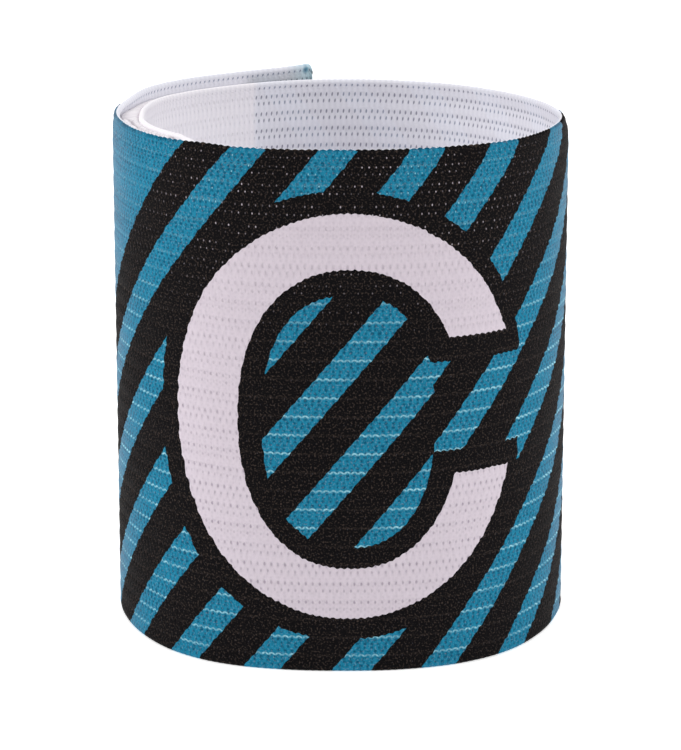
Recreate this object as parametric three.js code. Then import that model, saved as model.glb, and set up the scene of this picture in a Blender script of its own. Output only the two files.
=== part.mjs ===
// A captain's armband: a printed strip of elastic knit, wound once and a third round and
// closed by a hook-and-loop fastener. It stands on its lower edge, open right through.
// Millimetres, +Z up. The origin lies on the surface, under the middle of the armband, and
// the middle of the print faces -Y.

import * as THREE from 'three';

// Driving sizes
const bandRadius = 38;          // printed face of the wound strip, on average
const bandHeight = 85;          // width of the strip, which stands on its edge
const stripLength = 327.6;        // from end to end, along the printed face
const knitThickness = 1;
const knitCornerRadius = 1;     // at the four corners of the strip
const loopPatchLength = 67;     // pile patch, outside the inner end
const loopPatchThickness = 0.8;
const hookPatchLength = 20;     // hook patch, inside the layer that lies over it
const hookPatchThickness = 0.8;
const patchSetback = 7;         // from the inner end of the strip to either patch
const patchEdgeInset = 0.4;     // from the edges of the strip to either patch
const pieceGap = 0.3;           // clearance wherever two pieces or layers meet
const rollHeight = 4;           // height over which the upper edge rolls inwards
const rollDepth = 1.1;          // how far it rolls at the front
const edgeChamfer = 0.2;        // broken edges of the knit and of the patches

// Places, in degrees
const innerEndAngle = -129;     // where the strip starts, from +X, seen from above
const climbStart = 285;         // from there it climbs on to its own inner end
const hookRelease = 50;         // past the hook patch, the layers close up over this turn
const stationTurn = 2.5;        // between two sections of the loft

// The form of the first turn, going clockwise from the inner end. reach is the printed
// face's distance from the middle, as a share of bandRadius, before the climb. crown is
// how far the slack knit stands above bandHeight, as a share of it, and roll is how far
// its upper edge rolls inwards, as a share of rollDepth.
const firstTurn = [
  { turn: 0, reach: 0.931, crown: 0.0038, roll: 0.61 },
  { turn: 8, reach: 0.926, crown: 0.0049, roll: 0.26 },
  { turn: 20, reach: 0.910, crown: 0.0048, roll: 0.11 },
  { turn: 35, reach: 0.897, crown: 0.0043, roll: 0.21 },
  { turn: 51, reach: 0.889, crown: 0.0035, roll: 0.31 },
  { turn: 66, reach: 0.919, crown: 0.0022, roll: 0.45 },
  { turn: 81, reach: 0.963, crown: 0.0011, roll: 0.35 },
  { turn: 96, reach: 0.988, crown: 0.0008, roll: 0.43 },
  { turn: 111, reach: 1.014, crown: 0.0010, roll: 0.46 },
  { turn: 126, reach: 1.051, crown: 0.0012, roll: 0.38 },
  { turn: 141, reach: 1.074, crown: 0.0013, roll: 0.34 },
  { turn: 156, reach: 1.074, crown: 0.0011, roll: 0.42 },
  { turn: 171, reach: 1.061, crown: 0.0009, roll: 0.48 },
  { turn: 186, reach: 1.034, crown: 0.0006, roll: 0.61 },
  { turn: 201, reach: 1.014, crown: 0.0003, roll: 0.70 },
  { turn: 216, reach: 1.002, crown: 0, roll: 0.75 },
  { turn: 231, reach: 1.001, crown: 0, roll: 0.80 },
  { turn: 246, reach: 0.991, crown: 0, roll: 0.50 },
  { turn: 261, reach: 1.001, crown: 0, roll: 0.52 },
  { turn: 276, reach: 1.021, crown: 0, roll: 0.68 },
  { turn: 291, reach: 1.018, crown: 0.0005, roll: 1.15 },
  { turn: 306, reach: 0.981, crown: 0.0002, roll: 1.03 },
  { turn: 321, reach: 0.939, crown: 0.0001, roll: 1.00 },
  { turn: 336, reach: 0.926, crown: 0.0002, roll: 0.98 },
  { turn: 347, reach: 0.930, crown: 0.0010, roll: 0.91 },
  { turn: 355, reach: 0.932, crown: 0.0038, roll: 0.88 },
  { turn: 360, reach: 0.931, crown: 0.0038, roll: 0.61 },
];

// The tail lies over the inner end. share runs over its length, liftOff is how far it
// stands off what is under it, as a share of bandRadius, and foot is how high its lower
// edge has risen, as a share of bandHeight.
const tail = [
  { share: 0, liftOff: 0, foot: 0 },
  { share: 0.15, liftOff: 0.0005, foot: 0.0006 },
  { share: 0.26, liftOff: 0.0037, foot: 0.0019 },
  { share: 0.38, liftOff: 0.0207, foot: 0.0056 },
  { share: 0.50, liftOff: 0.0037, foot: 0.0108 },
  { share: 0.61, liftOff: 0.0025, foot: 0.0161 },
  { share: 0.73, liftOff: 0.0015, foot: 0.0185 },
  { share: 0.84, liftOff: 0.0002, foot: 0.0194 },
  { share: 0.93, liftOff: 0.0038, foot: 0.0216 },
  { share: 0.97, liftOff: 0.0188, foot: 0.0236 },
  { share: 1, liftOff: 0.0505, foot: 0.0243 },
];

const turnOfLength = (length) => THREE.MathUtils.radToDeg(length / bandRadius);

const fullTurn = 360;
const sweep = turnOfLength(stripLength);
const overlap = sweep - fullTurn;
const patchStart = turnOfLength(patchSetback);
const hookEnd = patchStart + turnOfLength(hookPatchLength);

// What lies between two layers of knit, from printed face to printed face
const underTail = knitThickness + loopPatchThickness + 2 * pieceGap;
const underHook = hookPatchThickness + pieceGap;

// A smooth curve through one column of a table
function curveOf(rows, at, column, ending) {
  const places = Float64Array.from(rows, (row) => row[at]);
  const values = Float64Array.from(rows, (row) => row[column]);
  const curve = new THREE.CubicInterpolant(places, values, 1);
  curve.settings = { endingStart: ending, endingEnd: ending };
  return (place) => curve.evaluate(place)[0];
}

const reachAt = curveOf(firstTurn, 'turn', 'reach', THREE.WrapAroundEnding);
const crownAt = curveOf(firstTurn, 'turn', 'crown', THREE.WrapAroundEnding);
const rollAt = curveOf(firstTurn, 'turn', 'roll', THREE.WrapAroundEnding);
const liftOffAt = curveOf(tail, 'share', 'liftOff', THREE.ZeroSlopeEnding);
const footAt = curveOf(tail, 'share', 'foot', THREE.ZeroSlopeEnding);

// Distance of the printed face from the middle, as if both patches reached the inner end
function wrapRadius(turn) {
  if (turn <= fullTurn) {
    const climb = THREE.MathUtils.smoothstep(turn, climbStart, fullTurn);
    return bandRadius * reachAt(turn) + climb * (underTail + underHook);
  }
  const below = turn - fullTurn;
  const hooked = 1 - THREE.MathUtils.smoothstep(below, hookEnd, hookEnd + hookRelease);
  return wrapRadius(below) + underTail + hooked * underHook + bandRadius * liftOffAt(below / overlap);
}

// Distance of the printed face from the middle. The inner end bends out to the layer over
// it, because no patch lies between the two there.
function radiusAt(turn) {
  const patches = loopPatchThickness + hookPatchThickness + 2 * pieceGap;
  return wrapRadius(turn) + patches * (1 - THREE.MathUtils.smoothstep(turn, 0, patchStart));
}

function planPoint(turn) {
  const angle = THREE.MathUtils.degToRad(innerEndAngle - turn);
  return new THREE.Vector2(Math.cos(angle), Math.sin(angle)).multiplyScalar(radiusAt(turn));
}

// Unit vector out of the printed face, in plan
function planNormal(turn) {
  const step = 0.25;
  const before = planPoint(Math.max(turn - step, 0));
  const after = planPoint(Math.min(turn + step, sweep));
  const along = after.sub(before).normalize();
  return new THREE.Vector2(-along.y, along.x);
}

// How far round a length reaches from the inner end, measured along the printed face
function turnAlongInnerEnd(length) {
  const step = 0.5;
  let turn = 0;
  let covered = 0;
  while (covered < length) {
    covered += planPoint(turn).distanceTo(planPoint(turn + step));
    turn += step;
  }
  return turn;
}

// Lower and upper edge of the strip
function edgesAt(turn) {
  if (turn <= fullTurn) return { low: 0, high: bandHeight * (1 + crownAt(turn)) };
  const low = bandHeight * footAt((turn - fullTurn) / overlap);
  return { low, high: low + bandHeight * (1 + crownAt(fullTurn)) };
}

// How much a rounded corner takes off the height, at a distance from the end
function cornerCut(distance, radius) {
  if (distance >= radius) return 0;
  return radius - Math.sqrt(radius ** 2 - (radius - distance) ** 2);
}

// One cross-section: a closed ring of corners round a wall between two depths behind the
// printed face, with its upper edge rolled inwards
function sectionAt(turn, outerDepth, innerDepth, low, high) {
  const rollStart = edgesAt(turn).high - rollHeight;
  const rolled = rollDepth * rollAt(turn > fullTurn ? turn - fullTurn : turn);
  const outline = [
    [outerDepth, low + edgeChamfer],
    [outerDepth, high - rollHeight],
    [outerDepth, high - rollHeight / 2],
    [outerDepth, high - edgeChamfer],
    [outerDepth + edgeChamfer, high],
    [innerDepth - edgeChamfer, high],
    [innerDepth, high - edgeChamfer],
    [innerDepth, high - rollHeight / 2],
    [innerDepth, high - rollHeight],
    [innerDepth, low + edgeChamfer],
    [innerDepth - edgeChamfer, low],
    [outerDepth + edgeChamfer, low],
  ];
  const foot = planPoint(turn);
  const normal = planNormal(turn);
  return outline.map(([depth, z]) => {
    const roll = rolled * (Math.max(z - rollStart, 0) / rollHeight) ** 2;
    return [foot.x - normal.x * (depth + roll), foot.y - normal.y * (depth + roll), z];
  });
}

// A closed solid lofted through equal rings, with a flat fan at each end
function loft(rings) {
  const corners = rings[0].length;
  const position = rings.flat(2);
  const index = [];
  for (let ring = 0; ring < rings.length - 1; ring += 1) {
    for (let corner = 0; corner < corners; corner += 1) {
      const a = ring * corners + corner;
      const b = ring * corners + ((corner + 1) % corners);
      index.push(a, b, a + corners, b, b + corners, a + corners);
    }
  }
  const last = (rings.length - 1) * corners;
  for (let corner = 1; corner < corners - 1; corner += 1) {
    index.push(0, corner + 1, corner);
    index.push(last, last + corner, last + corner + 1);
  }
  const geometry = new THREE.BufferGeometry();
  geometry.setAttribute('position', new THREE.Float32BufferAttribute(position, 3));
  geometry.setIndex(index);
  geometry.computeVertexNormals();
  return geometry;
}

// Turns of the sections: even steps, with closer ones where a corner rounds off
function stations(from, to, cornerRadius) {
  const closer = [0, 0.08, 0.3, 0.6].map((share) => turnOfLength(share * cornerRadius));
  const inner = from + turnOfLength(cornerRadius);
  const outer = to - turnOfLength(cornerRadius);
  const steps = Math.max(Math.ceil((outer - inner) / stationTurn), 1);
  const even = Array.from({ length: steps + 1 }, (_, i) => inner + ((outer - inner) * i) / steps);
  if (cornerRadius === 0) return even;
  return [...closer.map((turn) => from + turn), ...even, ...closer.map((turn) => to - turn).reverse()];
}

function knitBand() {
  const rings = stations(0, sweep, knitCornerRadius).map((turn) => {
    const fromEnd = THREE.MathUtils.degToRad(Math.min(turn, sweep - turn)) * bandRadius;
    const cut = cornerCut(fromEnd, knitCornerRadius);
    const { low, high } = edgesAt(turn);
    return sectionAt(turn, 0, knitThickness, low + cut, high - cut);
  });
  return loft(rings);
}

// A fastener patch over part of the strip, between two depths behind the printed face
function patch(from, to, outerDepth, innerDepth) {
  const rings = stations(from, to, 0).map((turn) => {
    const { low, high } = edgesAt(turn);
    return sectionAt(turn, outerDepth, innerDepth, low + patchEdgeInset, high - patchEdgeInset);
  });
  return loft(rings);
}

function loopPatch() {
  const to = turnAlongInnerEnd(patchSetback + loopPatchLength);
  return patch(patchStart, to, -pieceGap - loopPatchThickness, -pieceGap);
}

function hookPatch() {
  const outerDepth = knitThickness + pieceGap;
  return patch(fullTurn + patchStart, fullTurn + hookEnd, outerDepth, outerDepth + hookPatchThickness);
}

function piece(name, geometry, color, roughness) {
  const material = new THREE.MeshStandardMaterial({ color, roughness, metalness: 0 });
  const mesh = new THREE.Mesh(geometry, material);
  mesh.name = name;
  return mesh;
}

const armband = new THREE.Group();
armband.add(piece('knit_band', knitBand(), 0x2a8fb0, 0.85));
armband.add(piece('loop_patch', loopPatch(), 0xdcd8de, 0.95));
armband.add(piece('hook_patch', hookPatch(), 0xe2e0e4, 0.8));

// The sections are drawn round the middle of the loop, and the tail stands out behind it
const middle = new THREE.Box3().setFromObject(armband).getCenter(new THREE.Vector3());
armband.position.set(-middle.x, -middle.y, 0);

export default armband;
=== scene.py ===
# A captain's armband in printed elastic knit, dressed round its solids. The strip is wound
# once and a third round and closed by a hook-and-loop fastener.
import math

import bpy
import numpy as np
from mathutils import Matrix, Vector


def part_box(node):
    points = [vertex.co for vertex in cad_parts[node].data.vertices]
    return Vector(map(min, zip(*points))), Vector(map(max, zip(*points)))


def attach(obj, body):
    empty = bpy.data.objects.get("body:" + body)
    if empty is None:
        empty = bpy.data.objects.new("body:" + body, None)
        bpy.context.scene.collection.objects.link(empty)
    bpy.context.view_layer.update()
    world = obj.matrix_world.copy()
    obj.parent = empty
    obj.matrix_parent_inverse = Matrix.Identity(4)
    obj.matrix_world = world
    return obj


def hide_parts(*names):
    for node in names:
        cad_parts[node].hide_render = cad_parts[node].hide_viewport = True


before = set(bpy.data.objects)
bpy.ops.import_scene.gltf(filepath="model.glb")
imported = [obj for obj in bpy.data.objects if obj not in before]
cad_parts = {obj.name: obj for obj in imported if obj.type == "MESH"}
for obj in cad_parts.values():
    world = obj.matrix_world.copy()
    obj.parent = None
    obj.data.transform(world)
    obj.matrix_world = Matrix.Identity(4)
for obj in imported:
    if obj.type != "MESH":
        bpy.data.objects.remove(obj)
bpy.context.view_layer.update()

MM = 0.001

# Driving sizes in millimetres, the same as in the part's source
BAND_RADIUS = 38.0
BAND_HEIGHT = 85.0
STRIP_LENGTH = 327.6
KNIT_THICKNESS = 1.0
CORNER_RADIUS = 1.0
LOOP_PATCH_LENGTH = 67.0
LOOP_PATCH_THICKNESS = 0.8
HOOK_PATCH_LENGTH = 20.0
HOOK_PATCH_THICKNESS = 0.8
PATCH_SETBACK = 7.0
PATCH_EDGE_INSET = 0.4
PIECE_GAP = 0.3
PILE_CLEARANCE = 0.12    # between the pile and the layer over it, where no hooks press on it
PILE_LIMIT = 3.0         # how thick the loose pile can stand
ROLL_HEIGHT = 4.0
ROLL_DEPTH = 1.1

# Places in degrees, and the form of the strip, the same as in the part's source
INNER_END_ANGLE = -129.0
CLIMB_START = 285.0
HOOK_RELEASE = 50.0
FRONT_TURN = 321.0
FIRST_TURN = [  # turn, reach, crown, roll
    (0, 0.931, 0.0038, 0.61), (8, 0.926, 0.0049, 0.26), (20, 0.910, 0.0048, 0.11),
    (35, 0.897, 0.0043, 0.21), (51, 0.889, 0.0035, 0.31), (66, 0.919, 0.0022, 0.45),
    (81, 0.963, 0.0011, 0.35), (96, 0.988, 0.0008, 0.43), (111, 1.014, 0.0010, 0.46),
    (126, 1.051, 0.0012, 0.38), (141, 1.074, 0.0013, 0.34), (156, 1.074, 0.0011, 0.42),
    (171, 1.061, 0.0009, 0.48), (186, 1.034, 0.0006, 0.61), (201, 1.014, 0.0003, 0.70),
    (216, 1.002, 0, 0.75), (231, 1.001, 0, 0.80), (246, 0.991, 0, 0.50),
    (261, 1.001, 0, 0.52), (276, 1.021, 0, 0.68), (291, 1.018, 0.0005, 1.15),
    (306, 0.981, 0.0002, 1.03), (321, 0.939, 0.0001, 1.00), (336, 0.926, 0.0002, 0.98),
    (347, 0.930, 0.0010, 0.91), (355, 0.932, 0.0038, 0.88), (360, 0.931, 0.0038, 0.61),
]
TAIL = [  # share, lift off, foot
    (0, 0, 0), (0.15, 0.0005, 0.0006), (0.26, 0.0037, 0.0019),
    (0.38, 0.0207, 0.0056), (0.50, 0.0037, 0.0108), (0.61, 0.0025, 0.0161),
    (0.73, 0.0015, 0.0185), (0.84, 0.0002, 0.0194), (0.93, 0.0038, 0.0216),
    (0.97, 0.0188, 0.0236), (1, 0.0505, 0.0243),
]
FULL_TURN = 360.0

# The knit, in millimetres of slack cloth
COURSE = 1.115           # from loop to loop along the strip
ROW = 3.05               # from one row of pinholes to the next across it
ROW_FOOT = 2.5           # the lowest row
SECOND_ROW = 1.15        # the fainter row of each pair, below the first
CREST = 2.1              # where the knit stands highest, below the first
STRETCH_FALL = 0.000022  # how the front of the band is drawn out towards its sides
EASE = 0.6               # how much higher some rows stand at the front than evenly spaced ones
EASE_UP = (72.0, 78.0)
EASE_DOWN = (81.2, 84.0)
BACK_EASE = 0.45         # the same at the back, where more rows stand high
BACK_EASE_UP = (58.0, 70.0)
BACK_EASE_DOWN = (82.9, 84.35)
LOOPS_REACH = 62.0       # how far from the middle of the front the edge's loops are seen
SLACK = 1.055            # courses per millimetre at the back, against the front's 1
EVEN_FRONT = 45.0        # how far from its middle the front is drawn out evenly
BACK_FROM = 80.0         # and how far away the slack back begins
FRONT_EASE_END = (50.0, 75.0)
FIRST_HOLE = (0.2, 0.3)  # half width and half height of a clear pinhole
SECOND_HOLE = (0.19, 0.27)

# The knit's surface, in millimetres, at even and at odd columns of its mesh
DIPS = {"first": (0.2, -0.02), "second": (0.03, 0.15), "crest": (-0.05, -0.05)}
PATCH_DIP_SHARE = 0.35   # of a dip, where the loop patch is sewn behind it
FRONT_DENTS = (-0.12, 0.02)
BACK_DENTS = (-0.04, 0.0)
FOOT_DENTS = (0.01, 0.05)
RIM_ANGLES = (25, 60, 100, 140, 165)
TOP_ROUNDING = 0.42
TOP_RISE = 0.5
FOOT_ROUNDING = 0.5
FOOT_RISE = 0.3
RIM_PRINT = 0.3          # the rims are printed as the cloth this far from the edge is
RIM_ZONE = 6.0           # near the edges every row of the mesh is kept, also where it is hidden
HIDDEN_STEP = 12         # and elsewhere one hidden row in so many

# The loops of yarn along the upper edge, in millimetres and degrees
YARN_RADIUS = 0.2
YARN_SIDES = 5
LOOP_BEND = (-25, 15, 52, 90, 128, 165, 205)
LOOP_HALF_WIDTH = 0.40
LOOP_RISE = 0.32
LOOP_FOOT = 0.48         # from the band's upper edge down to the middle of a loop
LOOP_DEPTH = 0.10        # behind the printed face
LOOP_LEAN = 0.08         # how much further behind it the top of a loop lies

# The patches, in millimetres
PATCH_OFF_KNIT = 0.07    # between a patch and the face that it is sewn to
PATCH_COLUMN = 0.8
PATCH_END_SHARE = 0.55   # of its thickness, at its rounded ends
PILE_UNEVEN = 0.2
EDGE_UNEVEN = 0.08
PILE_GROWS = 8.0         # degrees over which the loose pile reaches its full height

# Camera in millimetres and degrees, floor and soft boxes in metres, lamps in watts
LENS = 148.95
SENSOR_WIDTH = 36
CAMERA_BACK = 512.7
CAMERA_HEIGHT = 164.8
CAMERA_TILT = 76.34
FLOOR_REACH = 4.0
FLOOR_GLOW = 0.45
WORLD_LIGHT = 0.4
SOFT_BOXES = (           # name, place, width, power
    ("overhead", (0.0, 0.1, 1.3), 1.2, 7.0),
    ("left", (-1.2, -0.25, 0.75), 1.0, 9.5),
    ("right", (1.2, -0.25, 0.75), 1.0, 8.0),
)
AIM_HEIGHT = 0.04


def curve_of(rows, column, wraps):
    """A smooth curve through one column of a table, as the part's source draws it."""
    t = np.array([row[0] for row in rows], float)
    y = np.array([row[column] for row in rows], float)
    if wraps:
        ends = (t[0] + t[-2] - t[-1], t[-1] + t[1] - t[0], y[-2], y[1])
    else:
        ends = (2 * t[0] - t[1], 2 * t[-1] - t[-2], y[1], y[-1])
    tt = np.concatenate(([ends[0]], t, [ends[1]]))
    yy = np.concatenate(([ends[2]], y, [ends[3]]))

    def evaluate(place):
        place = np.clip(place, t[0], t[-1])
        i = np.clip(np.searchsorted(t, place, side="right") - 1, 0, len(t) - 2)
        span = t[i + 1] - t[i]
        p = (place - t[i]) / span
        w_prev = 0.5 * span / (t[i] - tt[i])
        w_next = 0.5 * span / (tt[i + 3] - t[i + 1])
        return (
            (-w_prev * p**3 + 2 * w_prev * p**2 - w_prev * p) * yy[i]
            + ((1 + w_prev) * p**3 + (-1.5 - 2 * w_prev) * p**2 + (w_prev - 0.5) * p + 1) * y[i]
            + ((-1 - w_next) * p**3 + (1.5 + w_next) * p**2 + 0.5 * p) * y[i + 1]
            + (w_next * p**3 - w_next * p**2) * yy[i + 3]
        )

    return evaluate


reach_at = curve_of(FIRST_TURN, 1, True)
crown_at = curve_of(FIRST_TURN, 2, True)
roll_at = curve_of(FIRST_TURN, 3, True)
lift_off_at = curve_of(TAIL, 1, False)
foot_at = curve_of(TAIL, 2, False)


def smoothstep(x, low, high):
    """Rises smoothly from 0 at low to 1 at high."""
    p = np.clip((x - low) / (high - low), 0, 1)
    return p * p * (3 - 2 * p)


def turn_of_length(length):
    return math.degrees(length / BAND_RADIUS)


SWEEP = turn_of_length(STRIP_LENGTH)
OVERLAP = SWEEP - FULL_TURN
PATCH_START = turn_of_length(PATCH_SETBACK)
HOOK_END = PATCH_START + turn_of_length(HOOK_PATCH_LENGTH)
UNDER_TAIL = KNIT_THICKNESS + LOOP_PATCH_THICKNESS + 2 * PIECE_GAP
UNDER_HOOK = HOOK_PATCH_THICKNESS + PIECE_GAP


def radius_at(turn):
    """Distance of the printed face from the middle of the loop."""
    turn = np.asarray(turn, float)
    below = np.where(turn > FULL_TURN, turn - FULL_TURN, turn)
    climb = smoothstep(below, CLIMB_START, FULL_TURN)
    radius = BAND_RADIUS * reach_at(below) + climb * (UNDER_TAIL + UNDER_HOOK)
    hooked = 1 - smoothstep(below, HOOK_END, HOOK_END + HOOK_RELEASE)
    lift = UNDER_TAIL + hooked * UNDER_HOOK + BAND_RADIUS * lift_off_at(below / OVERLAP)
    patches = LOOP_PATCH_THICKNESS + HOOK_PATCH_THICKNESS + 2 * PIECE_GAP
    inner_end = patches * (1 - smoothstep(turn, 0, PATCH_START))
    return radius + np.where(turn > FULL_TURN, lift, 0) + inner_end


def loop_point(turn):
    angle = np.radians(INNER_END_ANGLE - np.asarray(turn, float))
    radius = radius_at(turn)
    return np.stack((radius * np.cos(angle), radius * np.sin(angle)), -1)


def plan_normal(turn):
    """Unit vector out of the printed face, in plan."""
    turn = np.asarray(turn, float)
    along = loop_point(np.minimum(turn + 0.25, SWEEP)) - loop_point(np.maximum(turn - 0.25, 0))
    along /= np.linalg.norm(along, axis=-1, keepdims=True)
    return np.stack((-along[..., 1], along[..., 0]), -1)


def edges_at(turn):
    """Lower and upper edge of the strip."""
    turn = np.asarray(turn, float)
    tail = turn > FULL_TURN
    low = np.where(tail, BAND_HEIGHT * foot_at((turn - FULL_TURN) / OVERLAP), 0)
    crown = crown_at(np.where(tail, FULL_TURN, turn))
    return low, low + BAND_HEIGHT * (1 + crown)


# The frame has its origin under the middle of the solids, and the tail stands out of the loop
fine_turns = np.linspace(0, SWEEP, 8001)
fine_points = loop_point(fine_turns)
low_corner, high_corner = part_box("knit_band")
solid_middle = (np.array(low_corner[:2]) + np.array(high_corner[:2])) / (2 * MM)
loop_middle = solid_middle - (fine_points.min(0) + fine_points.max(0)) / 2

# Length along the printed face from the middle of the front, and the same in slack cloth
steps = np.linalg.norm(np.diff(fine_points, axis=0), axis=1)
travelled = np.concatenate(([0], np.cumsum(steps)))
from_front = np.interp(FRONT_TURN, fine_turns, travelled) - travelled
drawn_out = 1 - 3 * STRETCH_FALL * np.minimum(np.abs(from_front), EVEN_FRONT) ** 2
to_back = smoothstep(np.abs(from_front), EVEN_FRONT, BACK_FROM)
cloth_per_mm = drawn_out + (SLACK - drawn_out) * to_back
middle_steps = (cloth_per_mm[1:] + cloth_per_mm[:-1]) / 2 * steps
cloth = -np.concatenate(([0], np.cumsum(middle_steps)))
cloth -= np.interp(FRONT_TURN, fine_turns, cloth)


def eased(row_height, turn):
    """Height of a row: near the upper edge the rows stand a little higher than evenly spaced."""
    front = 1 - smoothstep(np.abs(from_front_at(turn)), *FRONT_EASE_END)
    at_front = smoothstep(row_height, *EASE_UP) * (1 - smoothstep(row_height, *EASE_DOWN))
    at_back = smoothstep(row_height, *BACK_EASE_UP)
    at_back *= 1 - smoothstep(row_height, *BACK_EASE_DOWN)
    return row_height + EASE * at_front * front + BACK_EASE * at_back * (1 - front)


def from_front_at(turn):
    """Length along the printed face from the middle of the front, to the right."""
    return np.interp(turn, fine_turns, from_front)


def turn_of_cloth(place):
    return np.interp(place, cloth[::-1], fine_turns[::-1])


def cloth_of_turn(turn):
    return np.interp(turn, fine_turns, cloth)


def settle(turn, depth, z, low, high):
    """Points at a depth behind the printed face, with the upper edge rolled inwards."""
    rolled = ROLL_DEPTH * roll_at(np.where(turn > FULL_TURN, turn - FULL_TURN, turn))
    roll = rolled * (np.maximum(z - (high - ROLL_HEIGHT), 0) / ROLL_HEIGHT) ** 2
    foot = loop_point(turn) + loop_middle
    normal = plan_normal(turn)
    xy = foot - normal * (depth + roll)[..., None]
    return np.concatenate((xy, z[..., None]), -1)


def linear(hex_colour):
    """An sRGB hex colour as linear RGBA."""
    parts = [int(hex_colour[i : i + 2], 16) / 255 for i in (1, 3, 5)]
    return [p / 12.92 if p <= 0.04045 else ((p + 0.055) / 1.055) ** 2.4 for p in parts] + [1]


def add(tree, kind, inputs, out=0, **settings):
    """Adds a node with its settings and links, and returns one of its outputs."""
    node = tree.nodes.new(kind)
    for name, value in settings.items():
        setattr(node, name, value)
    for socket, value in inputs.items():
        if isinstance(value, bpy.types.NodeSocket):
            tree.links.new(value, node.inputs[socket])
        else:
            node.inputs[socket].default_value = value
    return node.outputs[out] if node.outputs else None


def new_material(name):
    material = bpy.data.materials.new(name)
    material.use_nodes = True
    material.node_tree.nodes.clear()
    return material, material.node_tree


# The print, in millimetres of slack cloth from the middle of the front and up the band
STRIPE_RISE = 1.18         # of the stripes, for each millimetre to the right
STRIPE_PERIOD = 17.44      # measured up the band
TEAL_HEIGHT = 7.4
STRIPE_PHASE = 11.6
PLAIN_TEAL_FROM = STRIPE_PHASE + 6 * STRIPE_PERIOD  # above this, the tail end is plain teal
OUTER_OVAL = (1.25, 42.0, 29.1, 33.05, 2.01)  # middle, half width, half height, fullness
INNER_OVAL = (1.55, 41.7, 18.1, 24.4, 2.2)
OUTLINE_OUTER = (0.6, 42.05, 32.1, 36.6, 2.05)
OUTLINE_INNER = (1.3, 41.4, 13.9, 20.6, 2.35)
GAP_MIDDLE = 43.5
GAP_HALF = 11.2            # half of the opening between the ends of the letter
OUTLINE_GAP_HALF = 7.3     # the same between their outlines
OUTLINE_END = 31.4         # where the outlines of the two ends are cut off straight
COUNTER_SHIFT = -0.7       # of the stripes within the letter's counter
STRIPE_SHIFTS = (          # of the others: from, to, and how much higher after than before
    (-28.0, -3.0, 0.8), (8.0, 24.0, 0.9), (30.0, 50.0, -3.6),
)
FIRST_SHIFT = -0.5

COLOURS = {
    "teal": "#1d7d9c",
    "teal shade": "#0c526e",
    "teal light": "#9ad2e0",
    "black": "#0b0a0c",
    "black light": "#574a43",
    "white": "#cfc4cd",
    "white shade": "#9a8f9d",
    "inside": "#f6f5fc",
    "inside shade": "#8d8fa6",
    "inside patch": "#f9f5f9",
}


def letter_and_outline(tree, along, up):
    """The letter, its black outline, and the counter that the outline leaves within it.

    The letter is a full oval less a smaller one, open on the right.
    """
    ovals = {}
    for name, oval in {
        "outer": OUTER_OVAL, "inner": INNER_OVAL,
        "outline outer": OUTLINE_OUTER, "outline inner": OUTLINE_INNER,
    }.items():
        reach = None
        for axis, value in enumerate((along, up)):
            offset = add(tree, "ShaderNodeMath", {0: value, 1: oval[axis]}, operation="SUBTRACT")
            share = add(tree, "ShaderNodeMath", {0: offset, 1: oval[axis + 2]}, operation="DIVIDE")
            size = add(tree, "ShaderNodeMath", {0: share}, operation="ABSOLUTE")
            power = add(tree, "ShaderNodeMath", {0: size, 1: oval[4]}, operation="POWER")
            if reach is None:
                reach = power
            else:
                reach = add(tree, "ShaderNodeMath", {0: reach, 1: power}, operation="ADD")
        ovals[name] = add(tree, "ShaderNodeMath", {0: reach, 1: 1.0}, operation="LESS_THAN")
    from_gap = add(tree, "ShaderNodeMath", {0: up, 1: GAP_MIDDLE}, operation="SUBTRACT")
    from_gap = add(tree, "ShaderNodeMath", {0: from_gap}, operation="ABSOLUTE")
    right = add(tree, "ShaderNodeMath", {0: along, 1: 0.0}, operation="GREATER_THAN")
    shapes = {}
    for name, outer, inner, half in (
        ("letter", "outer", "inner", GAP_HALF),
        ("outline", "outline outer", "outline inner", OUTLINE_GAP_HALF),
    ):
        ring = add(
            tree, "ShaderNodeMath", {0: ovals[outer], 1: ovals[inner]}, operation="SUBTRACT"
        )
        near = add(tree, "ShaderNodeMath", {0: from_gap, 1: half}, operation="LESS_THAN")
        gap = add(tree, "ShaderNodeMath", {0: near, 1: right}, operation="MULTIPLY")
        shapes[name] = add(
            tree, "ShaderNodeMath", {0: ring, 1: gap}, operation="SUBTRACT", use_clamp=True
        )
    past_end = add(tree, "ShaderNodeMath", {0: along, 1: OUTLINE_END}, operation="GREATER_THAN")
    by_gap = add(tree, "ShaderNodeMath", {0: from_gap, 1: GAP_HALF + 1.0}, operation="LESS_THAN")
    squared = add(tree, "ShaderNodeMath", {0: past_end, 1: by_gap}, operation="MULTIPLY")
    outline = add(
        tree, "ShaderNodeMath", {0: shapes["outline"], 1: squared}, operation="SUBTRACT",
        use_clamp=True,
    )
    return shapes["letter"], outline, ovals["outline inner"]


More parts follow.
